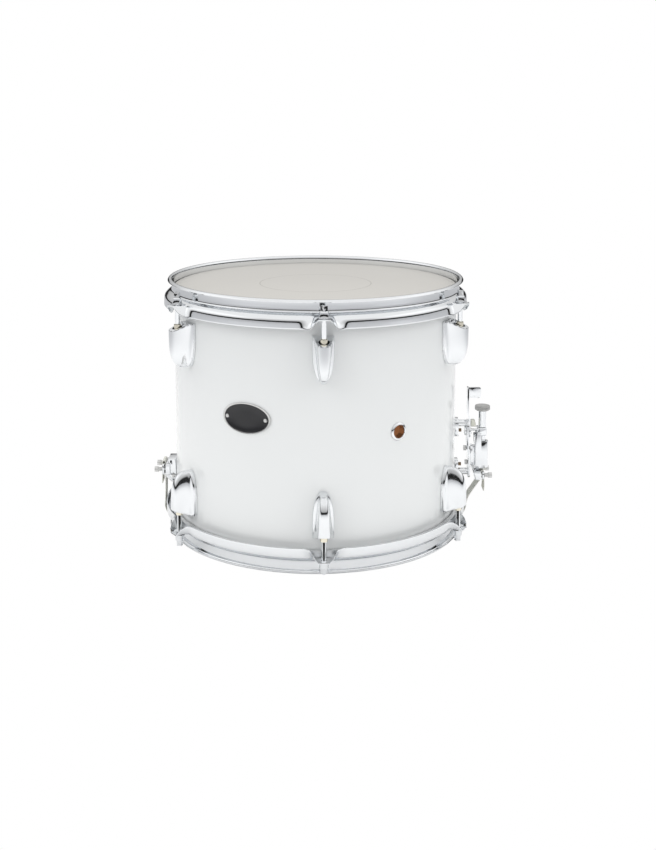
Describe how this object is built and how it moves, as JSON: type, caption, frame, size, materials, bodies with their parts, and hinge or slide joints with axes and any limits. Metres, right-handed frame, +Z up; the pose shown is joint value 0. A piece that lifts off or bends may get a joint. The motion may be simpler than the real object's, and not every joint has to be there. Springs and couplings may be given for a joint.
{
  "type": "marching snare drum",
  "caption": "Deep white snare drum with chrome hoops with rod ears, separate lugs and tension rods, a lever strainer with a tension knob, and snares under the lower head.",
  "frame": {"origin": "centre of the batter head's playing face, on the drum's axis", "axes": "+Z up along the drum's axis, +X towards the strainer, -Y the front, with the vent and badge"},
  "size_m": [0.4304, 0.41, 0.318],
  "materials": {
    "gloss_white": "glossy white wrap over a wooden shell",
    "coated_film": "coated film, matt",
    "clear_film": "clear film",
    "aluminium": "plain",
    "chrome": "polished chrome plate",
    "black_plate": "gloss black with a bright border",
    "dark_screw": "dark brass",
    "satin_metal": "satin",
    "cream_nylon": "cream nylon",
    "tape": "woven cream tape",
    "snare_wire": "wound wire"
  },
  "bodies": {
    "drum": {"shell": "gloss_white", "batter_head": "coated_film", "snare_head": "clear_film", "batter_flesh_hoop": "aluminium", "snare_flesh_hoop": "aluminium", "batter_hoop": "chrome", "snare_hoop": "chrome", "vent_grommet": "chrome", "strainer_base": "chrome", "strainer_body": "chrome", "lever_pivot": "chrome", "butt_bracket": "chrome", "butt_clamp_plate": "chrome", "batter_lug_1": "chrome", "batter_lug_2": "chrome", "batter_lug_3": "chrome", "batter_lug_4": "chrome", "batter_lug_5": "chrome", "batter_lug_6": "chrome", "snare_lug_1": "chrome", "snare_lug_2": "chrome", "snare_lug_3": "chrome", "snare_lug_4": "chrome", "snare_lug_5": "chrome", "snare_lug_6": "chrome", "badge_plate": "black_plate", "strainer_mount_screw_upper": "dark_screw", "strainer_mount_screw_lower": "dark_screw", "body_screw_upper": "satin_metal", "body_screw_lower": "satin_metal", "butt_clamp_screw_front": "satin_metal", "butt_clamp_screw_rear": "satin_metal", "butt_side_screw": "satin_metal", "butt_mount_screw_upper": "satin_metal", "butt_mount_screw_lower": "satin_metal", "strainer_strap": "tape", "butt_strap": "tape", "snare_wires": "snare_wire"},
    "lever": {"strainer_lever": "chrome", "lever_block": "cream_nylon"},
    "carriage": {"carriage": "chrome"},
    "knob": {"tension_knob": "satin_metal"},
    "clamp": {"strap_clamp": "chrome", "strap_clamp_plate": "chrome", "strap_clamp_screw_front": "satin_metal", "strap_clamp_screw_rear": "satin_metal"},
    "batter_rod_body_1": {"batter_tension_rod_1": "chrome"},
    "batter_rod_body_2": {"batter_tension_rod_2": "chrome"},
    "batter_rod_body_3": {"batter_tension_rod_3": "chrome"},
    "batter_rod_body_4": {"batter_tension_rod_4": "chrome"},
    "batter_rod_body_5": {"batter_tension_rod_5": "chrome"},
    "batter_rod_body_6": {"batter_tension_rod_6": "chrome"},
    "snare_rod_body_1": {"snare_tension_rod_1": "chrome"},
    "snare_rod_body_2": {"snare_tension_rod_2": "chrome"},
    "snare_rod_body_3": {"snare_tension_rod_3": "chrome"},
    "snare_rod_body_4": {"snare_tension_rod_4": "chrome"},
    "snare_rod_body_5": {"snare_tension_rod_5": "chrome"},
    "snare_rod_body_6": {"snare_tension_rod_6": "chrome"}
  },
  "joints": [
    {"name": "lever_swing", "type": "hinge", "parent": "drum", "child": "lever", "pos_m": [0.1976, 0, -0.192], "axis": [1, 0, 0], "range_deg": [0, 90]},
    {"name": "carriage_slide", "type": "slide", "parent": "drum", "child": "carriage", "axis": [0, 0, 1], "range_m": [-0.00751, 0], "deforming": ["strainer_strap"]},
    {"name": "knob_turn", "type": "hinge", "parent": "carriage", "child": "knob", "pos_m": [0.2141, 0, -0.1682], "axis": [0, 0, 1], "range_deg": [0, 1440.1]},
    {"name": "clamp_slide", "type": "slide", "parent": "carriage", "child": "clamp", "axis": [0, 0, 1], "range_m": [-0.003, 0], "deforming": ["strainer_strap"]},
    {"name": "batter_rod_turn_1", "type": "hinge", "parent": "drum", "child": "batter_rod_body_1", "pos_m": [0.00953, -0.19477, -0.0032], "axis": [0, 0, 1], "continuous": true},
    {"name": "batter_rod_turn_2", "type": "hinge", "parent": "drum", "child": "batter_rod_body_2", "pos_m": [0.17344, -0.08913, -0.0032], "axis": [0, 0, 1], "continuous": true},
    {"name": "batter_rod_turn_3", "type": "hinge", "parent": "drum", "child": "batter_rod_body_3", "pos_m": [0.16391, 0.10563, -0.0032], "axis": [0, 0, 1], "continuous": true},
    {"name": "batter_rod_turn_4", "type": "hinge", "parent": "drum", "child": "batter_rod_body_4", "pos_m": [-0.00953, 0.19477, -0.0032], "axis": [0, 0, 1], "continuous": true},
    {"name": "batter_rod_turn_5", "type": "hinge", "parent": "drum", "child": "batter_rod_body_5", "pos_m": [-0.17344, 0.08913, -0.0032], "axis": [0, 0, 1], "continuous": true},
    {"name": "batter_rod_turn_6", "type": "hinge", "parent": "drum", "child": "batter_rod_body_6", "pos_m": [-0.16391, -0.10563, -0.0032], "axis": [0, 0, 1], "continuous": true},
    {"name": "snare_rod_turn_1", "type": "hinge", "parent": "drum", "child": "snare_rod_body_1", "pos_m": [0.00953, -0.19477, -0.2952], "axis": [0, 0, 1], "continuous": true},
    {"name": "snare_rod_turn_2", "type": "hinge", "parent": "drum", "child": "snare_rod_body_2", "pos_m": [0.17344, -0.08913, -0.2952], "axis": [0, 0, 1], "continuous": true},
    {"name": "snare_rod_turn_3", "type": "hinge", "parent": "drum", "child": "snare_rod_body_3", "pos_m": [0.16391, 0.10563, -0.2952], "axis": [0, 0, 1], "continuous": true},
    {"name": "snare_rod_turn_4", "type": "hinge", "parent": "drum", "child": "snare_rod_body_4", "pos_m": [-0.00953, 0.19477, -0.2952], "axis": [0, 0, 1], "continuous": true},
    {"name": "snare_rod_turn_5", "type": "hinge", "parent": "drum", "child": "snare_rod_body_5", "pos_m": [-0.17344, 0.08913, -0.2952], "axis": [0, 0, 1], "continuous": true},
    {"name": "snare_rod_turn_6", "type": "hinge", "parent": "drum", "child": "snare_rod_body_6", "pos_m": [-0.16391, -0.10563, -0.2952], "axis": [0, 0, 1], "continuous": true}
  ],
  "couplings": [
    {"joint": "carriage_slide", "follows": "lever_swing", "m_per_rad": -0.0047747},
    {"joint": "knob_turn", "follows": "clamp_slide", "rad_per_m": -8377.6}
  ]
}
